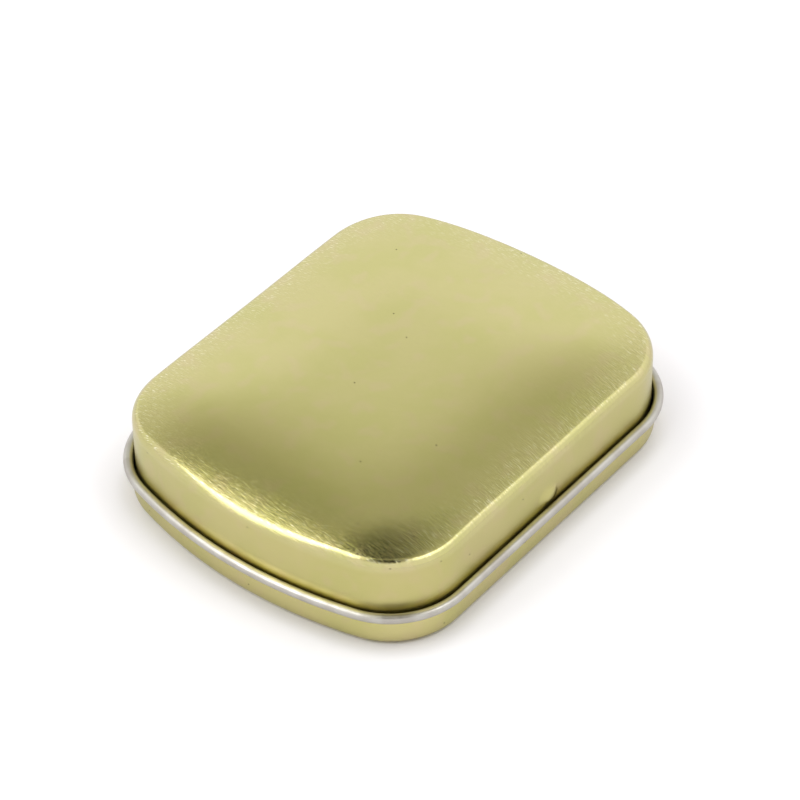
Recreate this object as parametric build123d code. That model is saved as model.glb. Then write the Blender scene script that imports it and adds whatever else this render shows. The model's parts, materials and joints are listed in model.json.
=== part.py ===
from build123d import *
from math import atan2, degrees, sqrt
import os

# Mint tin: a shallow tray with an outward rolled rim, and a crowned lid whose skirt
# plugs into the tray and swings on two tongues curled round the rim at the back.
# Millimetres, +Z up, X along the long sides, the hinge on the +Y side, and the
# origin on the table under the middle of the tray. The tin is drawn shut.

# Outline, over the rolled rim
rim_length = 60.0
rim_width = 48.6
rim_end_radius = 60.6
rim_corner_radius = 10.65
rim_height = 4.7
bow_shift = -0.89

# Tray
tray_sheet = 0.25
curl_radius = 0.6
curl_turn = 290.0
tray_edge_radius = 1.2
foot_width = 1.6
panel_rise = 0.4
panel_step = 0.7

# Lid
lid_sheet = 0.25
lid_gap = 0.14
lid_corner_radius = 9.84
shoulder_height = 12.0
shoulder_radius = 1.2
crown_rise = 2.0
crown_corner = 0.4
skirt_depth = 2.3
hem_height = 1.1

# Thumb nose pressed out of the lid's front wall, just above the rim
nose_width = 3.2
nose_height = 2.4
nose_reach = 0.36
nose_depth = 0.5
nose_gap = 0.12

# Hinge tongues, cut from the back of the skirt and curled under the rim
tongue_count = 2
tongue_spacing = 24.0
tongue_width = 7.0
tongue_wrap = 170.0
tongue_root = 0.3
tongue_relief = 0.5
slot_side_gap = 0.25
slot_drop = 0.1
slot_gap = 0.15

# Every cut runs this far past what it cuts
overrun = 1.0

# Sizes that follow. The rim's curl is turned outward from the wall, so the wall's
# inner face lies one curl diameter inside the rim's outer edge.
mouth_inset = 2 * curl_radius
lid_inset = mouth_inset + lid_gap
skirt_bottom = rim_height - skirt_depth
curl_middle = rim_width / 2 - curl_radius
tongue_inner = curl_radius + lid_gap
tongue_outer = tongue_inner + lid_sheet


def outline(inset, corner_radius):
    """The tin's outline: straight long sides, bowed short ends and round corners.

    The middle of each bowed end lies a little nearer the front than the tin's middle.
    The edges run clockwise, from the right end of the back side.
    """
    end_radius = rim_end_radius - inset
    end_centre = rim_length / 2 - inset - end_radius
    corners = []
    for side in (1, -1):
        y = side * (rim_width / 2 - inset - corner_radius)
        x = end_centre + sqrt((end_radius - corner_radius) ** 2 - (y - bow_shift) ** 2)
        corners.append((x, y, degrees(atan2(y - bow_shift, x - end_centre))))
    (back_x, back_y, back_reach), (front_x, front_y, front_reach) = corners
    end_turn = front_reach - back_reach
    right = [
        CenterArc((back_x, back_y), corner_radius, 90, back_reach - 90),
        CenterArc((end_centre, bow_shift), end_radius, back_reach, end_turn),
        CenterArc((front_x, front_y), corner_radius, front_reach, -90 - front_reach),
    ]
    left = [
        CenterArc((-front_x, front_y), corner_radius, -90, -90 - front_reach),
        CenterArc((-end_centre, bow_shift), end_radius, 180 - front_reach, end_turn),
        CenterArc((-back_x, back_y), corner_radius, 180 - back_reach, back_reach - 90),
    ]
    front = Line(right[-1] @ 1, left[0] @ 0)
    back = Line(left[-1] @ 1, right[0] @ 0)
    return Wire(right + [front] + left + [back])


def tray_outline(inset):
    return outline(inset, rim_corner_radius - inset)


def lid_outline(inset):
    return outline(lid_inset + inset, lid_corner_radius - inset)


def bar(left, right, bottom, top):
    """An upright rectangle between its four sides."""
    return Pos((left + right) / 2, (bottom + top) / 2) * Rectangle(right - left, top - bottom)


def bend(centre, inner, sheet, start, turn):
    """Sheet bent round a centre, from the start angle through the turn."""
    outer = inner + sheet
    mask_edge = CenterArc((0, 0), 2 * outer, start, turn)
    mask = make_face(Wire([Line((0, 0), mask_edge @ 0), mask_edge, Line(mask_edge @ 1, (0, 0))]))
    return Pos(*centre) * ((Circle(outer) - Circle(inner)) & mask)


def run_round(section, wire, height):
    """Sweeps a section, drawn outward along X and up along Y, round an outline."""
    path = Pos(0, 0, height) * wire
    plane = Plane(origin=path @ 0, x_dir=Vector(0, 0, 1).cross(path % 0), z_dir=path % 0)
    return sweep(plane * section, path=path)


def tray_section():
    """The tray's sheet from the curled rim down the wall to the raised panel."""
    wall_out = tray_sheet - curl_radius
    edge_u = wall_out - tray_edge_radius
    edge_v = tray_edge_radius - rim_height
    foot_u = edge_u - foot_width
    step_u = foot_u - panel_step
    slope = Polyline(
        (foot_u, -rim_height), (step_u, panel_rise - rim_height),
        (step_u, panel_rise + tray_sheet - rim_height), (foot_u, tray_sheet - rim_height), close=True)
    section = bend((0, 0), curl_radius - tray_sheet, tray_sheet, 180 - curl_turn, curl_turn)
    section += bar(-curl_radius, wall_out, edge_v, 0)
    section += bend((edge_u, edge_v), tray_edge_radius - tray_sheet, tray_sheet, -90, 90)
    section += bar(foot_u, edge_u, -rim_height, tray_sheet - rim_height)
    section += make_face(slope)
    return section, curl_radius - step_u


def tongue_places():
    """The middles of the hinge tongues along X."""
    first = -(tongue_count - 1) / 2
    return [(first + number) * tongue_spacing for number in range(tongue_count)]


def hinge_slots():
    """Openings in the tray's back wall, below the curl, that the tongues pass through."""
    wall_in = curl_middle - curl_radius
    top = -slot_drop
    bottom = -slot_gap - sqrt(tongue_outer**2 - (curl_radius - tray_sheet) ** 2)
    width = tongue_width + 2 * slot_side_gap
    depth = overrun + tray_sheet
    slot = Box(width, depth, top - bottom)
    middle_y = wall_in + (tray_sheet - overrun) / 2
    middle_z = rim_height + (top + bottom) / 2
    return [Pos(x, middle_y, middle_z) * slot for x in tongue_places()]


def make_tray():
    section, panel_inset = tray_section()
    ring = run_round(section, tray_outline(curl_radius), rim_height)
    floor = make_face(tray_outline(panel_inset))
    panel = extrude(Pos(0, 0, panel_rise) * floor, amount=tray_sheet)
    tray = ring + panel
    for slot in hinge_slots():
        tray -= slot
    return tray


def crown_row(half_size):
    """The crown's five control points across the lid, each with its square and fourth power.

    The powers are those of the place's share of the half size, spread over the points
    as a surface of five by five control points needs them.
    """
    reach = half_size + overrun
    square = (reach / half_size) ** 2
    fourth = square**2
    squares = (square, 0, -square / 3, 0, square)
    fourths = (fourth, -fourth, fourth, -fourth, fourth)
    places = [reach * (number / 2 - 1) for number in range(len(squares))]
    return list(zip(places, squares, fourths))


def crown(shrink):
    """A surface that rises from the lid's shoulder to its middle.

    It is nearly flat in the middle and falls with the fourth power of the distance
    across and along. The corner share keeps the shoulder level round the corners.
    """
    across = crown_row(rim_width / 2 - lid_inset - shrink)
    bottom = shoulder_height - shrink
    points = []
    for x, x_square, x_fourth in crown_row(rim_length / 2 - lid_inset - shrink):
        row = []
        for y, y_square, y_fourth in across:
            share = 1 - x_fourth - y_fourth + crown_corner * x_square * y_square
            row.append((x, y, bottom + crown_rise * share))
        points.append(row)
    return Face.make_bezier_surface(points)


def lid_form(shrink, bottom):
    """The lid as a closed block with a rounded shoulder and a crowned top."""
    height = shoulder_height + crown_rise + overrun - bottom
    block = extrude(Pos(0, 0, bottom) * make_face(lid_outline(shrink)), amount=height)
    block -= extrude(crown(shrink), amount=height, dir=(0, 0, 1))
    top = block.faces().sort_by(Axis.Z)[-1]
    return fillet(top.edges(), shoulder_radius - shrink)


def nose_form(shrink):
    """An egg-shaped press tool whose front end stands out of the lid's front wall."""
    share = sqrt(1 - (nose_depth / (nose_depth + nose_reach)) ** 2)
    half_width = nose_width / 2 / share - shrink
    half_depth = nose_depth + nose_reach - shrink
    half_height = nose_height / 2 / share - shrink
    egg = scale(Sphere(1), by=(half_width, half_depth, half_height))
    front = lid_inset + nose_depth - rim_width / 2
    middle = rim_height + curl_radius + nose_gap + nose_height / 2
    return Pos(0, front, middle) * egg


def hem():
    """The skirt's edge, folded back inward and pressed flat against the inside of the lid."""
    section = Circle(lid_sheet) & bar(-lid_sheet, lid_sheet, -lid_sheet, 0)
    section += bar(-lid_sheet, 0, 0, hem_height)
    return run_round(section, lid_outline(lid_sheet), skirt_bottom + lid_sheet)


def hinge_tongue():
    """A strip of the skirt that hangs from its root and wraps round the curl from below."""
    section = bend((0, 0), tongue_inner, lid_sheet, 180, tongue_wrap)
    section += bar(-tongue_outer, -tongue_inner, 0, tongue_root)
    middle = Plane(origin=(-tongue_width / 2, curl_middle, rim_height), x_dir=(0, 1, 0), z_dir=(1, 0, 0))
    return extrude(middle * section, amount=tongue_width)


def make_lid():
    fold_height = skirt_bottom + lid_sheet
    outside = lid_form(0, fold_height) + nose_form(0)
    inside = lid_form(lid_sheet, fold_height - overrun) + nose_form(lid_sheet)
    lid = outside - inside + hem()
    # the skirt is cut away beside and below each tongue, up to the tongue's root
    notch_depth = 2 * lid_sheet + 2 * overrun
    notch_height = skirt_depth + overrun
    notch = Box(tongue_width + 2 * tongue_relief, notch_depth, notch_height)
    tongue = hinge_tongue()
    skirt_y = rim_width / 2 - lid_inset
    for x in tongue_places():
        lid -= Pos(x, skirt_y - notch_depth / 2 + overrun, rim_height - notch_height / 2) * notch
        lid += Pos(x, 0, 0) * tongue
    return lid


def main():
    os.makedirs("parts", exist_ok=True)
    for name, solid in (("base_tray", make_tray()), ("hinged_lid", make_lid())):
        export_step(solid, f"parts/{name}.step")
        print(name, "volume", round(solid.volume, 1), "mm3, solids", len(solid.solids()))


main()
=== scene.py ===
# %% [markdown]
# # A pocket mint tin, shut, on a white table
#
# The tin is two thin pressings: a shallow tray with a rolled rim, and a crowned lid that plugs into it.
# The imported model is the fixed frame. It gives the true size and place of both pressings, and says how the
# lid swings. This lesson models each pressing again as one clean sheet of square faces, because a bright
# metal shows every flaw in the faces that carry its reflections.

# %% Open the frame
import json
import math

import bmesh
import bpy
from mathutils import Matrix, Vector

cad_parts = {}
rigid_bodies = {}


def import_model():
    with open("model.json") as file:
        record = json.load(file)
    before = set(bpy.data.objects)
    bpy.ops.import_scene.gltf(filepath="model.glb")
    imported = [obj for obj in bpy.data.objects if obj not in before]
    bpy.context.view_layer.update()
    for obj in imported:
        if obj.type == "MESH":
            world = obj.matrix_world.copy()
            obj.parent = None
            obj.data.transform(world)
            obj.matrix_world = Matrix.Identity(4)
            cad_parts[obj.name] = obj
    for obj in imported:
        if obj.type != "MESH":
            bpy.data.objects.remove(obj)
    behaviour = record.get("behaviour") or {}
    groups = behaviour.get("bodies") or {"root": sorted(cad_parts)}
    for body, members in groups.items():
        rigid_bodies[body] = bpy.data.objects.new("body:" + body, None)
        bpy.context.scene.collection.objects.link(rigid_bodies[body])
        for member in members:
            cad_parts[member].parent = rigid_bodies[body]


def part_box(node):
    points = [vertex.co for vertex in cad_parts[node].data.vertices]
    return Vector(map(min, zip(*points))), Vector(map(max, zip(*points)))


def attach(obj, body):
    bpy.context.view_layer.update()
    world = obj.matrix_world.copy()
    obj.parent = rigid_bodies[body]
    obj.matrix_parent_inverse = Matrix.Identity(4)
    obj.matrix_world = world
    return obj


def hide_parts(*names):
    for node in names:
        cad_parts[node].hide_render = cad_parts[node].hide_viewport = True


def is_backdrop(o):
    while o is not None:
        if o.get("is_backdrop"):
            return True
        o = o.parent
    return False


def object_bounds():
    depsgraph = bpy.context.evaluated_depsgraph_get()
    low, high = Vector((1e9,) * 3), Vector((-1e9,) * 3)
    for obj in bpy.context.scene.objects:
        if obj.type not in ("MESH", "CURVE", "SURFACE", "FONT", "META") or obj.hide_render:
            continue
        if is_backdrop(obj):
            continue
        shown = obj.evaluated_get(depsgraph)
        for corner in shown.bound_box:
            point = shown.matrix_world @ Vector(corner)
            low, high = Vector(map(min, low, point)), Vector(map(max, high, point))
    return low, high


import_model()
cad_box = [list(corner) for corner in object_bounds()]

# %% [markdown]
# ## Sizes
#
# The frame gives the outer sizes. The few others are the sheet's thickness, the radii of the press tools, the
# rise of the crown, and how far the bow of the short ends is shifted to the front. All lengths are metres, so
# a millimetre has a name of its own.

# %% Sizes of the two pressings
mm = 0.001

tray_low, tray_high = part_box("base_tray")
lid_low, lid_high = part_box("hinged_lid")

sheet = 0.25 * mm
rim_half_length = tray_high.x
rim_half_width = -tray_low.y
rim_end_radius = 60.6 * mm
rim_corner_radius = 10.65 * mm
curl_radius = 0.6 * mm
rim_height = tray_high.z - curl_radius
curl_y = rim_half_width - curl_radius
bow_shift = -0.89 * mm
end_centre = Vector((rim_half_length - rim_end_radius, bow_shift, 0))

lid_inset = rim_half_length - lid_high.x
lid_half_width = rim_half_width - lid_inset
lid_corner_radius = 9.84 * mm
crown_rise = 2.0 * mm
shoulder_height = lid_high.z - crown_rise
skirt_bottom = lid_low.z
print("rim, mm", [round(2 * size / mm, 2) for size in (rim_half_length, rim_half_width)],
      "lid, mm", [round(size / mm, 2) for size in (lid_high.x, lid_half_width, shoulder_height)])

# %% [markdown]
# ## The camera
#
# The camera stands where the photographer stood: low over the near corner, with a long lens. It looks down
# at 42 degrees, and is rolled by about one degree, as a camera in the hand is.

# %% Place the camera
deselect_all = bpy.ops.object.select_all
deselect_all(action="DESELECT")
bpy.ops.object.camera_add(
    location=(-230.87 * mm, -190.36 * mm, 276.27 * mm),
    rotation=(math.radians(48.183), math.radians(0.865), math.radians(-51.407)))
camera = bpy.context.object
camera.name = "photo_camera"
camera.data.lens = 152.59
camera.data.clip_start = 0.02
bpy.context.scene.camera = camera
print("camera stands", round(camera.location.length / mm), "mm away")

# %% [markdown]
# ## The outline
#
# Seen from above, each pressing has straight long sides, short ends that bow out a little, and round corners.
# The middle of each bow lies a little nearer the front than the tin's middle, so the corners at the back turn
# further than those at the front. Only the right half is drawn: a section of the sheet is pushed along half
# the back, turned round the back corner, the bowed end and the front corner, and pushed along half the front.
# One mirror gives the left half.


# %% Corners of the outline
def corner_of(side, half_width, inset, corner_radius):
    """The centre of the back (side 1) or front (-1) corner, and the angle at which it meets the bowed end."""
    y = side * (half_width - corner_radius)
    radius = rim_end_radius - inset - corner_radius
    x = end_centre.x + math.sqrt(radius**2 - (y - end_centre.y) ** 2)
    return Vector((x, y, 0)), math.atan2(y - end_centre.y, x - end_centre.x)


lid_corners = [corner_of(side, lid_half_width, lid_inset, lid_corner_radius) for side in (1, -1)]
tray_corners = [corner_of(side, rim_half_width, 0, rim_corner_radius) for side in (1, -1)]
for name, corners in (("lid", lid_corners), ("tray", tray_corners)):
    for centre, reach in corners:
        print(name, "corner, mm", [round(value / mm, 2) for value in centre.xy],
              "meets the end at", round(math.degrees(reach), 2), "degrees")

# %% [markdown]
# ## Drawing with one vertex
#
# A section is drawn as a toolmaker draws it, one line or arc at a time. The pen is a plane merged to a single
# vertex. Extrude draws a straight line from it and spin draws an arc, and after each of them the new end is
# the vertex that is selected, so the next stroke goes on from there.
#
# Spin turns clockwise for a positive angle, so the helper takes the usual anticlockwise angle and turns its
# sign.


# %% Pen strokes
def put_pen(name, y, z):
    """Starts a new mesh with one selected vertex in the plane X = 0, and stays in edit mode."""
    deselect_all(action="DESELECT")
    bpy.ops.mesh.primitive_plane_add(size=mm)
    piece = bpy.context.object
    piece.name = name
    piece.data.name = name
    bpy.ops.object.mode_set(mode="EDIT")
    bpy.ops.mesh.merge(type="CENTER")
    bpy.ops.transform.translate(value=(0, y, z))
    return piece


def draw_line(dy, dz, steps=1):
    """Draws a straight stroke in equal steps."""
    for _ in range(steps):
        stroke = {"value": (0, dy / steps, dz / steps)}
        bpy.ops.mesh.extrude_vertices_move(TRANSFORM_OT_translate=stroke)


def draw_arc(y, z, turn, steps):
    """Draws an arc about a centre; the turn is in degrees."""
    bpy.ops.mesh.spin(steps=steps, angle=-math.radians(turn), center=(0, y, z), axis=(1, 0, 0))


# %% [markdown]
# The same two operators then carry the whole section round the half outline, and make faces this time.

# %% Carry a section round the outline
merge_distance = 0.002 * mm
quarter_turn = math.pi / 2


def evenly(start, end, steps):
    """Places after start, up to and including end."""
    return [start + (end - start) * (number + 1) / steps for number in range(steps)]


def push_along(stations, start):
    """Extrudes the selected edges along X, from station to station."""
    place = start
    for station in stations:
        stroke = {"value": (station - place, 0, 0)}
        bpy.ops.mesh.extrude_edges_move(TRANSFORM_OT_translate=stroke)
        place = station


def turn_round(centre, angle, steps):
    """Spins the selected edges clockwise about an upright axis."""
    bpy.ops.mesh.spin(steps=steps, angle=angle, center=centre, axis=(0, 0, 1))


def carry_round(piece, corners, back_places, front_places, corner_steps, end_steps):
    """Takes the drawn section round the right half of the outline and mirrors it; places run from X = 0.

    Returns what fill_middle asks for: the direction of the point halfway round the back corner, and the
    number of edges from there along the back to its mirror image.
    """
    (back_corner, back_reach), (front_corner, front_reach) = corners
    bpy.ops.mesh.select_all(action="SELECT")
    push_along(back_places + [back_corner.x], 0)
    turn_round(back_corner, quarter_turn - back_reach, corner_steps)
    turn_round(end_centre, back_reach - front_reach, end_steps)
    turn_round(front_corner, quarter_turn + front_reach, corner_steps)
    push_along(front_places[::-1] + [0], front_corner.x)
    bpy.ops.object.mode_set(mode="OBJECT")
    bpy.ops.object.modifier_add(type="MIRROR")
    mirror = piece.modifiers[-1]
    mirror.merge_threshold = merge_distance
    bpy.ops.object.modifier_apply(modifier=mirror.name)
    half_span = corner_steps // 2 + len(back_places) + 1
    return (quarter_turn + back_reach) / 2, 2 * half_span


# %% [markdown]
# Faces and edges are picked in code by the place of their middle, as a click would pick them.


# %% Pick by place
def middle_of(mesh, item):
    """The middle of a face or an edge."""
    places = [mesh.vertices[index].co for index in item.vertices]
    return sum(places, Vector()) / len(places)


def pick(piece, kind, wanted):
    """Selects the faces (FACE) or edges (EDGE) whose middle passes the test, in edit mode."""
    bpy.ops.object.mode_set(mode="EDIT")
    bpy.ops.mesh.select_mode(type=kind)
    bpy.ops.mesh.select_all(action="DESELECT")
    bpy.ops.object.mode_set(mode="OBJECT")
    items = {"FACE": piece.data.polygons, "EDGE": piece.data.edges}[kind]
    for item in items:
        item.select = wanted(middle_of(piece.data, item))
    count = sum(item.select for item in items)
    bpy.ops.object.mode_set(mode="EDIT")
    return count


# %% [markdown]
# The middle of the lid's top and of the tray's floor is one big hole after the mirrors. Grid fill closes it
# with square faces. It starts at the active vertex, so the one halfway round a corner is made active, and the
# span is the number of edges from there to the next corner.


# %% Close the middle with a grid
def fill_middle(piece, height, corner_angle, span):
    """Fills the hole at this height with a grid from corner to corner."""
    bpy.ops.object.mode_set(mode="EDIT")
    bpy.ops.mesh.select_mode(type="VERT")
    bpy.ops.mesh.select_all(action="DESELECT")
    bpy.ops.mesh.select_non_manifold(use_wire=False, use_multi_face=False, use_non_contiguous=False)
    form = bmesh.from_edit_mesh(piece.data)
    for vertex in form.verts:
        if abs(vertex.co.z - height) > merge_distance:
            vertex.select = False
    form.select_flush(False)
    ring = [vertex for vertex in form.verts if vertex.select]
    toward = Vector((math.cos(corner_angle), math.sin(corner_angle), 0))
    form.select_history.clear()
    form.select_history.add(max(ring, key=lambda vertex: vertex.co.dot(toward)))
    bmesh.update_edit_mesh(piece.data)
    bpy.ops.mesh.fill_grid(span=span, use_interp_simple=True)
    bpy.ops.object.mode_set(mode="OBJECT")
    print(piece.name, "hole of", len(ring), "edges filled")


# %% [markdown]
# ## The lid
#
# A real lid of this kind is one blank of tinplate, lacquered gold on one side. A press draws it to a shallow
# pan with a tight shoulder, presses a slight crown into the top, and folds the skirt's edge inward so that no
# raw edge is left to cut a finger.
#
# The pen follows the lacquered side. It starts at the raw edge inside, goes down the folded hem, round the
# fold, up the wall, over the shoulder and a little way in over the top. The rows are close where the thumb
# nose will be. The shoulder is drawn a little tight, because the crown will open it.

# %% Draw the lid's section
hem_fold = 0.265 * mm
hem_height = 1.1 * mm
shoulder_radius = 0.9 * mm
top_ring = 9.0 * mm
nose_foot = 4.9 * mm
nose_head = 8.3 * mm
fold_height = skirt_bottom + hem_fold
arc_height = shoulder_height - shoulder_radius

lid = put_pen("lid_pressing", lid_half_width - 2 * hem_fold, fold_height + hem_height)
draw_line(0, -hem_height, steps=2)
draw_arc(lid_half_width - hem_fold, fold_height, turn=180, steps=10)
draw_line(0, rim_height - fold_height, steps=3)
draw_line(0, nose_foot - rim_height)
draw_line(0, nose_head - nose_foot, steps=24)
draw_line(0, arc_height - nose_head, steps=5)
draw_arc(lid_half_width - shoulder_radius, arc_height, turn=90, steps=12)
draw_line(shoulder_radius - top_ring, 0, steps=14)
print("section of", len(bmesh.from_edit_mesh(lid.data).verts), "points")

# %% [markdown]
# The columns of faces stand where the metal is worked later: at the sides of the hinge's tongues and of the
# cuts beside them, and close together where the nose is pushed out.

# %% Carry the lid's section round
tongue_in, tongue_out = 8.5 * mm, 15.5 * mm
notch_in, notch_out = 8.0 * mm, 16.0 * mm
nose_side = 2.6 * mm
corner_steps, end_steps = 18, 20

back_places = evenly(0, notch_in, 10) + [tongue_in] + evenly(tongue_in, tongue_out, 9) + [notch_out]
front_places = evenly(0, nose_side, 13) + evenly(nose_side, notch_out, 8)
corner_angle, span = carry_round(lid, lid_corners, back_places, front_places, corner_steps, end_steps)
fill_middle(lid, shoulder_height, corner_angle, span)

# %% [markdown]
# ## The crown
#
# The top isn't flat: it bows up 2 mm to its middle. With t and u from 0 in the middle to 1 at the sides, it
# falls as t⁴ + u⁴ - 0.4 t² u². So it is nearly flat in the middle and steepens toward the shoulder, as thin
# sheet does over a shallow punch, and the shoulder stays level round the corners. A lattice gives such a bow
# without touching the square faces. It has thirteen points each way and is half as wide again as the lid.

# %% Put a lattice round the top
lattice_points = 13
spacing = 0.25
lattice_span = (lattice_points - 1) * spacing

deselect_all(action="DESELECT")
bpy.ops.object.add(type="LATTICE", location=(0, 0, (arc_height + shoulder_height) / 2))
press = bpy.context.object
press.scale = (lattice_span * lid_high.x, lattice_span * lid_half_width, shoulder_radius)
cage = press.data
cage.interpolation_type_u = cage.interpolation_type_v = "KEY_BSPLINE"
cage.interpolation_type_w = "KEY_LINEAR"
cage.points_u = cage.points_v = lattice_points
print("lattice of", len(cage.points), "points")

# %% [markdown]
# Only the upper layer of points is raised, so the foot of the shoulder stays where it is. A B-spline lattice
# passes under its own points. The square and the fourth power are therefore corrected for the points'
# spacing, which brings the sheet out on the rule.

# %% Raise the crown
corner_share = 0.4


def square_at(place):
    return place**2 - spacing**2 / 3


def fourth_at(place):
    return place**4 - 2 * (spacing * place) ** 2 + spacing**4 / 3


for point in cage.points:
    along, across, layer = lattice_span * point.co
    if layer > 0:
        corner = corner_share * square_at(along) * square_at(across)
        share = 1 - fourth_at(along) - fourth_at(across) + corner
        point.co_deform.z += crown_rise / shoulder_radius * share

deselect_all(action="DESELECT")
lid.select_set(True)
bpy.context.view_layer.objects.active = lid
bpy.ops.object.modifier_add(type="LATTICE")
lid.modifiers[-1].object = press
bpy.ops.object.modifier_apply(modifier=lid.modifiers[-1].name)
bpy.data.objects.remove(press)
print("top of the crown, mm", round(max(vertex.co.z for vertex in lid.data.vertices) / mm, 3))

# %% [markdown]
# ## The thumb nose
#
# Just above the rim, the middle of the front wall is pushed out by a small egg-shaped punch, so that a thumb
# nail has something to lift. Proportional editing does the same: a few faces are moved out, and their
# neighbours follow. The first push is broad and fades away softly. The second is smaller and ends in a sharp
# edge on the right, where the punch has bitten deeper.

# %% Push the nose out
window_width, window_height = 0.5 * mm, 0.2 * mm


def push_nose(at_x, at_z, radius, reach, falloff):
    """Moves the few faces at a place of the front wall out, with a round falloff."""
    def here(middle):
        beside, above = abs(middle.x - at_x), abs(middle.z - at_z)
        return middle.y < 0 and beside < window_width / 2 and above < window_height / 2

    print("nose faces moved", pick(lid, "FACE", here))
    bpy.ops.transform.translate(
        value=(0, -reach, 0), use_proportional_edit=True, proportional_edit_falloff=falloff,
        proportional_size=radius)


push_nose(at_x=-0.35 * mm, at_z=6.55 * mm, radius=1.5 * mm, reach=0.2 * mm, falloff="SMOOTH")
push_nose(at_x=0.35 * mm, at_z=6.35 * mm, radius=0.85 * mm, reach=0.14 * mm, falloff="SPHERE")

# %% [markdown]
# ## The hinge tongues
#
# At the back the skirt is cut away in two places. What is left in the middle of each cut is a strip of the
# same sheet that hangs from the wall and is curled under the tray's rolled rim. Here the faces of the cut
# are deleted, and the edges left at its top are spun about the middle of the rim.

# %% Cut the notches and curl the tongues
tongue_wrap = 170


def in_notch(middle):
    return middle.y > 0 and notch_in < abs(middle.x) < notch_out and middle.z < rim_height


def on_tongue_root(middle):
    level = abs(middle.z - rim_height) < merge_distance
    return level and middle.y > lid_half_width - merge_distance and tongue_in < abs(middle.x) < tongue_out


print("notch faces cut", pick(lid, "FACE", in_notch))
bpy.ops.mesh.delete(type="FACE")
print("tongue root edges", pick(lid, "EDGE", on_tongue_root))
draw_arc(curl_y, rim_height, turn=tongue_wrap, steps=20)

# %% [markdown]
# ## The sheet laid flat
#
# The grain of tinplate runs one way over the flat blank, and it turns down over the bends with the metal when
# the blank is pressed. The pattern therefore reads a UV map of the blank: the plan of the top, with each
# wall folded outward by its drop. One unit of the map is one metre.


# %% Lay the sheet flat
def outward_at(place, corners):
    """The level direction out of the tin at a place, from the straight side, the corner or the bowed end."""
    side = 1 if place.y > 0 else -1
    corner, reach = corners[0 if side > 0 else 1]
    x = abs(place.x)
    if x <= corner.x:
        return Vector((0, side))
    way = Vector((x - corner.x, place.y - corner.y))
    if side * math.atan2(way.y, way.x) < side * reach:
        way = Vector((x - end_centre.x, place.y - end_centre.y))
    way.normalize()
    return Vector((math.copysign(way.x, place.x), way.y))


def lay_flat(piece, corners, drop_of):
    """Writes the UV map of the blank; drop_of tells how far down the sheet a place lies from the plan."""
    mesh = piece.data
    layer = mesh.uv_layers.new(name="blank")
    flat = []
    for vertex in mesh.vertices:
        flat.append(vertex.co.xy + outward_at(vertex.co, corners) * drop_of(vertex.co))
    for loop in mesh.loops:
        layer.data[loop.index].uv = flat[loop.vertex_index]


# %% [markdown]
# ## From surface to sheet
#
# The mesh so far is one side of the sheet. Its doubles are merged and its normals made to agree, and Solidify
# then gives the sheet its real thickness on the other side. The drawn side keeps the first material and the
# new side gets the second, as lacquered tinplate has two sides.


# %% Give a pressing its thickness
def thicken(piece, first_finish, second_finish):
    """Merges, turns the normals out, and adds the sheet behind the drawn surface."""
    piece.data.materials.append(first_finish)
    piece.data.materials.append(second_finish)
    bpy.ops.object.mode_set(mode="EDIT")
    bpy.ops.mesh.select_mode(type="VERT")
    bpy.ops.mesh.select_all(action="SELECT")
    bpy.ops.mesh.remove_doubles(threshold=merge_distance)
    bpy.ops.mesh.normals_make_consistent(inside=False)
    bpy.ops.object.mode_set(mode="OBJECT")
    highest = max(piece.data.polygons, key=lambda polygon: polygon.center.z)
    if highest.normal.z < 0:
        bpy.ops.object.mode_set(mode="EDIT")
        bpy.ops.mesh.flip_normals()
        bpy.ops.object.mode_set(mode="OBJECT")
        print(piece.name, "was inside out")
    bpy.ops.object.modifier_add(type="SOLIDIFY")
    wall = piece.modifiers[-1]
    wall.thickness = sheet
    wall.offset = -1
    wall.use_even_offset = True
    wall.material_offset = 1
    wall.material_offset_rim = 1
    bpy.ops.object.modifier_apply(modifier=wall.name)
    bpy.ops.object.shade_smooth_by_angle(angle=math.radians(40))
    print(piece.name, "faces", len(piece.data.polygons))


# %% [markdown]
# ## Building finishes from nodes
#
# Each finish is a small network of nodes, and helpers keep it readable. The first adds a node with its
# settings and joins its inputs. The others are steps that come back often: a sum, a soft step between two
# values, and noise, which makes no two places of the sheet alike.


# %% Node helpers
def add(tree, kind, settings=None, **inputs):
    """Adds a node. An input goes by its name, or by i and its number.

    What it is given is a value, or an output of another node to join to it.
    """
    node = tree.nodes.new(kind)
    for name, value in (settings or {}).items():
        setattr(node, name, value)
    for name, value in inputs.items():
        key = int(name[1:]) if name[0] == "i" and name[1:].isdigit() else name.replace("_", " ")
        if isinstance(value, bpy.types.NodeSocket):
            tree.links.new(value, node.inputs[key])
        else:
            node.inputs[key].default_value = value
    return node


def sums(tree, operation, first, second, third=0.0):
    """One step of arithmetic."""
    return add(tree, "ShaderNodeMath", {"operation": operation}, i0=first, i1=second, i2=third).outputs[0]


def remap(tree, value, low, high, to_low=0.0, to_high=1.0):
    """A soft step from one range to another."""
    node = add(tree, "ShaderNodeMapRange", {"interpolation_type": "SMOOTHSTEP"}, Value=value, From_Min=low,
               From_Max=high, To_Min=to_low, To_Max=to_high)
    return node.outputs["Result"]


def noise(tree, place, scale, detail, roughness=0.5):
    """Soft random values over the sheet, from 0 to 1."""
    node = add(tree, "ShaderNodeTexNoise", {"noise_dimensions": "2D"}, Vector=place, Scale=scale,
               Detail=detail, Roughness=roughness)
    return node.outputs["Fac"]


# %% [markdown]
# ## Rolled grain
#
# Tinplate is rolled, and the rolls leave fine broken lines, all one way, a tenth or two of a millimetre wide
# and some millimetres long. Both sides of the sheet show them, so they are a node group, built once and
# placed in both finishes, each time with its own width and length of line.


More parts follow.
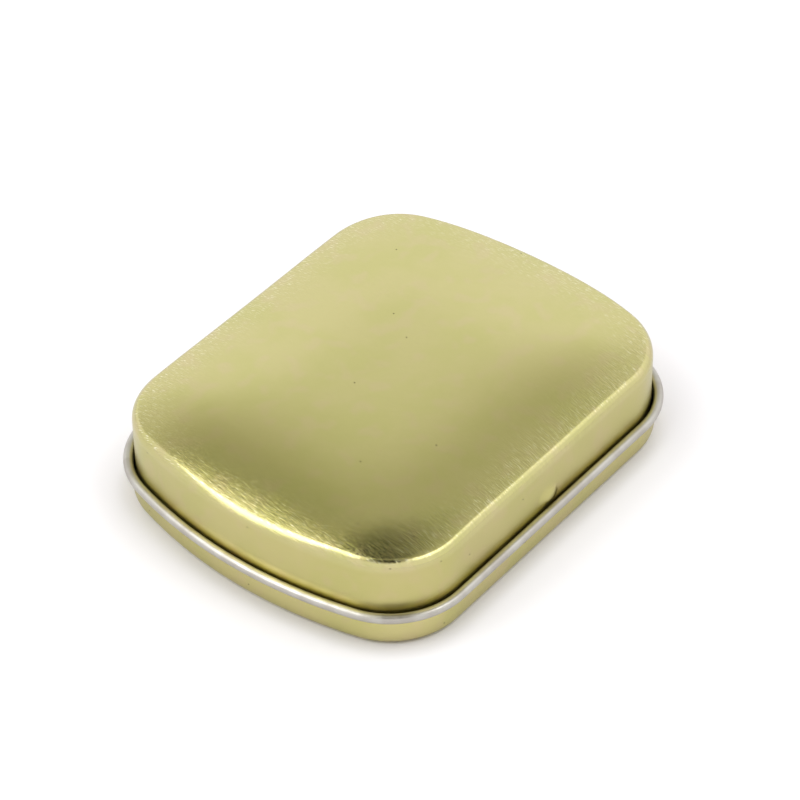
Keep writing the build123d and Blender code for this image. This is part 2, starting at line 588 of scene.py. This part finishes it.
# %% Open a node group
def open_group(name, inputs, outputs):
    """A node group with its named sockets, and the nodes inside that carry them."""
    group = bpy.data.node_groups.new(name, "ShaderNodeTree")
    for socket, (kind, default) in inputs.items():
        made = group.interface.new_socket(socket, in_out="INPUT", socket_type=kind)
        if default is not None:
            made.default_value = default
    for socket, kind in outputs.items():
        group.interface.new_socket(socket, in_out="OUTPUT", socket_type=kind)
    return group, group.nodes.new("NodeGroupInput"), group.nodes.new("NodeGroupOutput")


float_socket, vector_socket = "NodeSocketFloat", "NodeSocketVector"
grain_group, given, made = open_group(
    "rolled_grain",
    {"Place": (vector_socket, None), "Line Width": (float_socket, 0.15), "Line Length": (float_socket, 3.0)},
    {"Lines": float_socket, "Dashes": float_socket, "Specks": float_socket})
print("group", grain_group.name, "gives", [socket.name for socket in made.inputs if socket.name])

# %% [markdown]
# The group stretches noise along the sheet's grain to draw the lines. Noise that is stretched less, and cut
# off high up, gives sparse short dashes, which the gold finish uses for painted glints. A few cells of a
# Voronoi pattern get a speck in their middle.

# %% Lines, dashes and specks
grain_angle = math.radians(3)
dash_stretch = (0.8, 1.6, 1.0)
dash_start, dash_full = 0.62, 0.72
speck_spacing, speck_share = 2.5 * mm, 0.03
speck_core, speck_edge = 0.02, 0.05


def stretch_place(place, by):
    node = add(grain_group, "ShaderNodeVectorMath", {"operation": "MULTIPLY"}, i0=place, i1=by)
    return node.outputs[0]


place = given.outputs["Place"]
turned = add(grain_group, "ShaderNodeVectorRotate", {"rotation_type": "Z_AXIS"}, Vector=place,
             Angle=grain_angle).outputs[0]
per_width = sums(grain_group, "DIVIDE", 1 / mm, given.outputs["Line Width"])
per_length = sums(grain_group, "DIVIDE", 1 / mm, given.outputs["Line Length"])
stretch = add(grain_group, "ShaderNodeCombineXYZ", X=per_width, Y=per_length, Z=1.0).outputs[0]
lines_at = stretch_place(turned, stretch)
lines = noise(grain_group, lines_at, scale=1.0, detail=2.0, roughness=0.6)
dashes = noise(grain_group, stretch_place(lines_at, dash_stretch), scale=1.0, detail=1.0)

specks = add(grain_group, "ShaderNodeTexVoronoi", {"voronoi_dimensions": "2D"}, Vector=place,
             Scale=1 / speck_spacing).outputs
chance = add(grain_group, "ShaderNodeSeparateColor", Color=specks["Color"]).outputs[0]
rare = sums(grain_group, "GREATER_THAN", chance, 1 - speck_share)
small = remap(grain_group, specks["Distance"], speck_core, speck_edge, 1.0, 0.0)

grain_group.links.new(lines, made.inputs["Lines"])
grain_group.links.new(remap(grain_group, dashes, dash_start, dash_full), made.inputs["Dashes"])
grain_group.links.new(sums(grain_group, "MULTIPLY", rare, small), made.inputs["Specks"])
print("nodes in", grain_group.name, len(grain_group.nodes))

# %% [markdown]
# ## Gold lacquer
#
# The outside is bright tinplate under a thin transparent yellow lacquer, so it is a metal with a greenish
# gold colour, not a paint. The lacquer lies a little thicker here and thinner there, which moves the hue
# between olive and pink. Two clouds of noise mix the three hues.


# %% Open and close a material
def open_material(name):
    """A new material and its empty node tree."""
    material = bpy.data.materials.new(name)
    material.use_nodes = True
    material.node_tree.nodes.clear()
    return material, material.node_tree


def close_material(tree, surface):
    """Ends a material in its shader."""
    add(tree, "ShaderNodeOutputMaterial", Surface=surface.outputs[0])


def blend(tree, share, first, second, mode="MIX"):
    """Mixes two colours."""
    settings = {"data_type": "RGBA", "blend_type": mode}
    node = add(tree, "ShaderNodeMix", settings, i0=share, i6=first, i7=second)
    return node.outputs[2]


# %% Gold lacquer colours
gold_colour = (0.665, 0.61, 0.285, 1.0)
olive_colour = (0.62, 0.595, 0.24, 1.0)
rose_colour = (0.70, 0.59, 0.34, 1.0)

gold, tree = open_material("gold_lacquer_finish")
blank = add(tree, "ShaderNodeUVMap", {"uv_map": "blank"}).outputs[0]
clouds = noise(tree, blank, scale=0.12 / mm, detail=2.0)
drift = noise(tree, blank, scale=0.35 / mm, detail=1.0)
colour = blend(tree, remap(tree, clouds, 0.35, 0.7, 0.0, 0.6), gold_colour, olive_colour)
colour = blend(tree, remap(tree, drift, 0.5, 0.75, 0.0, 0.4), colour, rose_colour)
print("material", gold.name, "with three hues")

# %% [markdown]
# ## Marks of the press, and painted light and shade on the walls
#
# The press leaves its marks at certain heights, so the masks read the height in the shut tin. The walls are
# drawn deepest, and they are duller than the top. Their colour also carries painted light and shade by
# height:
# the tray's wall is painted lighter and the lid's darker and a little browner, for how bright the paper is
# that each mirrors. Round the shoulder the sheet is stretched most, and there the grain stands out. It fades
# away over the top.

# %% Masks by height
stretch_start, stretch_full, wall_end = 10.6 * mm, 11.4 * mm, 11.6 * mm
fade_start, fade_end = 12.2 * mm, 13.6 * mm
# Heights between which the painted glints by the shoulder come in.
painted_glint_start, painted_glint_full = 12.0 * mm, 12.3 * mm
tray_end, lid_start = 4.6 * mm, 5.4 * mm
# Painted light and shade: the tray's wall is painted lighter, the lid's darker and browner.
tray_wall_painted_light, lid_wall_painted_shade = (1.06, 1.05, 1.01, 1.0), (0.96, 0.95, 0.86, 1.0)

place = add(tree, "ShaderNodeTexCoord").outputs["Object"]
height = add(tree, "ShaderNodeSeparateXYZ", i0=place).outputs["Z"]
on_wall = remap(tree, height, stretch_start, wall_end, 1.0, 0.0)
fading = remap(tree, height, fade_start, fade_end, 1.0, 0.0)
stretched = sums(tree, "MULTIPLY", fading, remap(tree, height, stretch_start, stretch_full, 0.12, 1.0))
painted_glint_share = sums(tree, "MULTIPLY", fading, remap(tree, height, painted_glint_start, painted_glint_full, 0.0, 0.7))
# The walls' painted light and shade, mixed by height from the tray's to the lid's.
wall_painted_light_and_shade = blend(tree, remap(tree, height, tray_end, lid_start), tray_wall_painted_light, lid_wall_painted_shade)
colour = blend(tree, on_wall, colour, wall_painted_light_and_shade, "MULTIPLY")
print("walls end at", wall_end / mm, "mm, the grain fades to", fade_end / mm, "mm")

# %% [markdown]
# The grain does three things here. Its lines shade the colour, its dashes are painted as bright glints by the
# shoulder, a painted highlight where the shoulder's highlight sparkles, and a bump of at most 0.018 mm makes
# the highlights break up along the lines.

# %% Grain in the lacquer
# Colour of the painted glints, a painted highlight on the dashes by the shoulder.
painted_glint_colour = (0.98, 0.94, 0.66, 1.0)
speck_colour = (0.10, 0.08, 0.03, 1.0)


def ramp(tree, value, to_low, to_high):
    """A straight line from the range 0 to 1 to another."""
    return add(tree, "ShaderNodeMapRange", Value=value, To_Min=to_low, To_Max=to_high).outputs[0]


def close_metal(tree, colour, rough, height, depth):
    """Ends a material in metal, with a bump of this depth where the height is 1."""
    bump = add(tree, "ShaderNodeBump", Strength=1.0, Distance=depth, Height=height)
    close_material(tree, add(tree, "ShaderNodeBsdfPrincipled", Base_Color=colour, Metallic=1.0,
                             Roughness=rough, Normal=bump.outputs[0]))


grain = add(tree, "ShaderNodeGroup", {"node_tree": grain_group}, Place=blank, Line_Width=0.09,
            Line_Length=1.6).outputs
shade = sums(tree, "SUBTRACT", grain["Lines"], 0.5)
shade = sums(tree, "MULTIPLY_ADD", shade, ramp(tree, stretched, 0.06, 0.25), 1.0)
grey = add(tree, "ShaderNodeCombineColor", i0=shade, i1=shade, i2=shade).outputs[0]
colour = blend(tree, 1.0, colour, grey, "MULTIPLY")
# Painted highlight: the dashes by the shoulder are painted as bright glints.
colour = blend(tree, sums(tree, "MULTIPLY", grain["Dashes"], painted_glint_share), colour, painted_glint_colour)
colour = blend(tree, grain["Specks"], colour, speck_colour)
rough = ramp(tree, on_wall, 0.15, 0.27)
relief = sums(tree, "MULTIPLY", grain["Lines"], ramp(tree, stretched, 0.06, 1.0))
close_metal(tree, colour, rough, relief, depth=0.018 * mm)
print("nodes in", gold.name, len(tree.nodes))

# %% [markdown]
# ## Bare tinplate
#
# The inside is not lacquered. It is satin tin with the same rolled grain, and it comes out at the rim, where
# the sheet's inner side is rolled outward.

# %% Bare tinplate material
tin_colour = (0.60, 0.58, 0.53, 1.0)
dull_colour = (0.52, 0.49, 0.44, 1.0)

tin, tree = open_material("bare_tinplate_finish")
blank = add(tree, "ShaderNodeUVMap", {"uv_map": "blank"}).outputs[0]
grain = add(tree, "ShaderNodeGroup", {"node_tree": grain_group}, Place=blank, Line_Width=0.2,
            Line_Length=4.0).outputs
clouds = noise(tree, blank, scale=0.3 / mm, detail=3.0)
colour = blend(tree, remap(tree, clouds, 0.35, 0.7), tin_colour, dull_colour)
colour = blend(tree, grain["Specks"], colour, speck_colour)
rough = remap(tree, grain["Lines"], 0.3, 0.7, 0.32, 0.42)
close_metal(tree, colour, rough, grain["Lines"], depth=0.004 * mm)
print("nodes in", tin.name, len(tree.nodes))

# %% [markdown]
# ## The finished lid
#
# The map of the blank is written first, while the mesh is one surface, and Solidify then copies it to the
# other side. The lid rides on the frame's body of that name, so it swings with the joint. It stands for the
# CAD part, which is hidden and stays for the physics.


# %% Finish the lid
def drop_on_lid(place):
    return max(0.0, shoulder_height - place.z)


bpy.ops.object.mode_set(mode="OBJECT")
lay_flat(lid, lid_corners, drop_on_lid)
thicken(lid, gold, tin)
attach(lid, "lid")
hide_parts("hinged_lid")

# %% [markdown]
# ## The tray
#
# The tray is drawn from the same tinplate, with the lacquer outside. Its wall ends in a curl, rolled outward
# and down, that makes the mouth stiff and smooth. The floor's middle is raised a little, so that the tin
# stands on a narrow foot round its edge.
#
# The pen follows the bare side this time: across the edge of the raised floor, down its step, over the foot,
# up the wall, and 290 degrees round the curl.

# %% Draw the tray's section
panel_height = 0.65 * mm
step_y, foot_y = 19.85 * mm, 20.55 * mm
step_turn = math.atan2(panel_height - sheet, foot_y - step_y)
bend_radius = 0.4 * mm
bend_reach = bend_radius * math.tan(step_turn / 2)
edge_radius = 0.95 * mm
wall_y = curl_y - curl_radius
slot_foot, slot_head = 3.624 * mm, 4.6 * mm
curl_turn = 290

tray = put_pen("tray_pressing", step_y - bend_reach, panel_height)
draw_arc(step_y - bend_reach, panel_height - bend_radius, turn=-math.degrees(step_turn), steps=3)
slope = math.hypot(panel_height - sheet, foot_y - step_y) - 2 * bend_reach
draw_line(slope * math.cos(step_turn), -slope * math.sin(step_turn))
draw_arc(foot_y + bend_reach, sheet + bend_radius, turn=math.degrees(step_turn), steps=3)
draw_line(wall_y - edge_radius - foot_y - bend_reach, 0, steps=2)
draw_arc(wall_y - edge_radius, sheet + edge_radius, turn=90, steps=8)
draw_line(0, slot_foot - sheet - edge_radius, steps=3)
draw_line(0, slot_head - slot_foot, steps=2)
draw_line(0, rim_height - slot_head)
draw_arc(curl_y, rim_height, turn=-curl_turn, steps=32)
print("section of", len(bmesh.from_edit_mesh(tray.data).verts), "points")

# %% [markdown]
# The tray's slots lie opposite the lid's tongues and are a quarter of a millimetre wider at each side. The
# columns of the back wall stand at their sides.

# %% Carry the tray's section round
slot_in, slot_out = 8.25 * mm, 15.75 * mm
back_places = evenly(0, slot_in, 4) + evenly(slot_in, slot_out, 4)
corner_angle, span = carry_round(tray, tray_corners, back_places, back_places, corner_steps, end_steps)
fill_middle(tray, panel_height, corner_angle, span)

# %% [markdown]
# The tongues of the lid pass through two slots in the back wall, just under the curl.


# %% Cut the hinge slots
def in_slot(middle):
    at_wall = abs(middle.y - wall_y) < merge_distance and slot_foot < middle.z < slot_head
    return at_wall and slot_in < abs(middle.x) < slot_out


print("slot faces cut", pick(tray, "FACE", in_slot))
bpy.ops.mesh.delete(type="FACE")
bpy.ops.object.mode_set(mode="OBJECT")

# %% [markdown]
# The tray is finished as the lid was. Its drawn side is the bare one, so the two finishes change places, and
# its blank is laid flat from the raised floor up. It rides on the base, which stays on the table.


# %% Finish the tray
def rise_on_tray(place):
    """How far up the sheet a place lies from the floor."""
    return max(0.0, place.z - panel_height)


lay_flat(tray, tray_corners, rise_on_tray)
thicken(tray, tin, gold)
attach(tray, "base")
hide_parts("base_tray")

# %% [markdown]
# ## The table
#
# The tin stands on a white sheet that runs out of sight. To the camera the sheet is pure white where nothing
# shades it. In the metal's reflections, and for the light that it throws back on the tin, it is a plain pale
# grey, so that the walls don't come out brighter than a real sheet would make them. It lies a hundredth of a
# millimetre under the tin's foot, since two faces in one place would flicker.

# %% Lay the table
table_drop = 0.01 * mm
white, pale_grey = (1.0, 1.0, 1.0, 1.0), (0.79, 0.79, 0.79, 1.0)

deselect_all(action="DESELECT")
bpy.ops.mesh.primitive_plane_add(size=6, location=(0, 0, -table_drop))
table = bpy.context.object
table.name = "white_table"
paper, tree = open_material("white_paper")
by_camera = add(tree, "ShaderNodeLightPath").outputs["Is Camera Ray"]
close_material(tree, add(tree, "ShaderNodeBsdfDiffuse", Color=blend(tree, by_camera, pale_grey, white)))
table.data.materials.append(paper)
table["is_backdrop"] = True
print("table", table.name, "lies", table_drop / mm, "mm under the foot")

# %% [markdown]
# ## The light
#
# The room is plain white to the camera and in the metal. As a light on the paper it is less than half as
# bright and a little lilac, so that there is a shadow and it has the colour of the photo's. Light that the
# metal throws on the paper counts as this dimmer light too.
#
# Cycles is told not to aim at the room, because aimed rays don't count as mirrored ones, and the metal would
# come out too dark.

# %% White room
room_on_paper = (0.45, 0.43, 0.45, 1.0)

room = bpy.data.worlds.new("white_room")
bpy.context.scene.world = room
room.use_nodes = True
tree = room.node_tree
tree.nodes.clear()
rays = add(tree, "ShaderNodeLightPath").outputs
seen = sums(tree, "MAXIMUM", sums(tree, "MAXIMUM", rays["Is Camera Ray"], rays["Is Glossy Ray"]),
            rays["Is Transmission Ray"])
straight = sums(tree, "LESS_THAN", rays["Diffuse Depth"], 0.5)
level = blend(tree, sums(tree, "MULTIPLY", seen, straight), room_on_paper, white)
add(tree, "ShaderNodeOutputWorld", Surface=add(tree, "ShaderNodeBackground", Color=level).outputs[0])
room.cycles.sampling_method = "NONE"
print("room", room.name, "lights the paper with", room_on_paper[:3])

# %% [markdown]
# A wide soft box high up on the right lights the table, so the shadow is dark only close to the tin and
# reaches further on the left. It is kept out of reflections. A long soft box on the left draws the bright
# line along the left shoulder, and a faint one on the right does so there. Two short ones carry the line on
# round the near corner.

# %% Soft boxes
box_distance = 0.6


def soft_box(name, start, end, width, radiance, distance=box_distance):
    """A lamp whose face runs between two directions seen from the tin, and looks at the tin.

    The radiance counts in units of the white room; a lamp's power is four times that, times its area.
    """
    first, last = (Vector(way).normalized() * distance for way in (start, end))
    place = (first + last) / 2
    along = (last - first).normalized()
    toward = place.normalized()
    turn = Matrix((along, toward.cross(along), toward)).transposed().to_euler()
    deselect_all(action="DESELECT")
    bpy.ops.object.light_add(type="AREA", location=place, rotation=turn)
    lamp = bpy.context.object
    lamp.name = name
    lamp.data.shape = "RECTANGLE"
    lamp.data.size = (last - first).length
    lamp.data.size_y = width
    lamp.data.energy = radiance * 4 * lamp.data.size * lamp.data.size_y
    return lamp


soft_box("left_soft_box", start=(0.04, 0.4, 0.915), end=(-0.8, 0.35, 0.48), width=0.18, radiance=1.8)
soft_box("right_soft_box", start=(0.576, -0.15, 0.8), end=(0.576, -0.667, 0.473), width=0.2, radiance=0.22)
soft_box("left_corner_box", start=(-0.31, 0.2, 0.93), end=(-0.68, -0.08, 0.73), width=0.22, radiance=1.8)
soft_box("right_corner_box", start=(0.24, -0.36, 0.9), end=(0.02, -0.72, 0.69), width=0.2, radiance=1.6)
overhead = soft_box("overhead_soft_box", start=(-0.15, -0.12, 0.98), end=(0.62, -0.16, 0.85), width=0.75,
                    radiance=1.55, distance=1.0)
overhead.visible_glossy = False

# %% [markdown]
# Bright metal needs something dark to reflect, or it looks like plastic. Photographers hang black flags round
# the set, and they draw the olive band inside the near edges of the lid and the dark spot in the near corner.
# Here each flag is a disc of net, thick in the middle and thin at its edge, seen only in reflections: a wide
# thin one above the tin, a faint one behind it on the left, and two small thick ones, one nearly overhead and
# one over the camera.

# %% Net for the flags
flag_distance = 0.5
net_tint, black = (1.0, 1.0, 0.55, 1.0), (0.01, 0.01, 0.01, 1.0)


def flag_size(degrees):
    """How far from the flag's middle a direction this far off its axis lies."""
    return flag_distance * math.tan(math.radians(degrees))


def flag_net(name, full, gone, cover):
    """Net that covers its share out to one angle off the flag's axis, and is gone at the next."""
    net, tree = open_material(name)
    place = add(tree, "ShaderNodeTexCoord").outputs["Object"]
    away = add(tree, "ShaderNodeVectorMath", {"operation": "LENGTH"}, i0=place).outputs["Value"]
    share = remap(tree, away, flag_size(full), flag_size(gone), cover, 0.0)
    clear = add(tree, "ShaderNodeBsdfTransparent", Color=blend(tree, share, white, net_tint))
    dark = add(tree, "ShaderNodeBsdfDiffuse", Color=black)
    mixed = add(tree, "ShaderNodeMixShader", i0=share, i1=clear.outputs[0], i2=dark.outputs[0])
    close_material(tree, mixed)
    return net


# %% Hang the flags
def hang_flag(name, turn, height, full, gone, cover):
    """Hangs a disc of net in a direction from the tin, facing it; all angles are in degrees."""
    level = math.cos(math.radians(height))
    way = Vector((level * math.cos(math.radians(turn)), level * math.sin(math.radians(turn)),
                  math.sin(math.radians(height))))
    deselect_all(action="DESELECT")
    bpy.ops.mesh.primitive_circle_add(
        vertices=48, radius=flag_size(gone + 1), fill_type="NGON", location=flag_distance * way,
        rotation=way.to_track_quat("Z", "Y").to_euler())
    flag = bpy.context.object
    flag.name = name
    flag.data.materials.append(flag_net(name + "_net", full, gone, cover))
    flag.visible_camera = flag.visible_diffuse = flag.visible_shadow = flag.visible_transmission = False
    flag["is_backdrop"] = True


hang_flag("wide_flag", turn=25, height=74, full=20, gone=38, cover=0.48)
hang_flag("left_flag", turn=80, height=46, full=12, gone=25, cover=0.3)
hang_flag("corner_flag", turn=42, height=75, full=10.5, gone=14.5, cover=0.99)
hang_flag("camera_flag", turn=-140.6, height=62, full=17, gone=27, cover=0.97)
print("flags hung", flag_distance, "m from the tin")

# %% [markdown]
# ## Finish
#
# The plain Standard view shows a colour about as it is written, so the white paper stays white. The last
# lines measure the visual model beside the imported one and print both boxes.

# %% View settings
bpy.context.scene.view_settings.view_transform = "Standard"
print("view", bpy.context.scene.view_settings.view_transform)

# %% Print both boxes
visual_box = [list(corner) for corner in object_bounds()]
for name, box in (("cad", cad_box), ("visual", visual_box)):
    print(name, "box, mm", [[round(value / mm, 2) for value in corner] for corner in box])
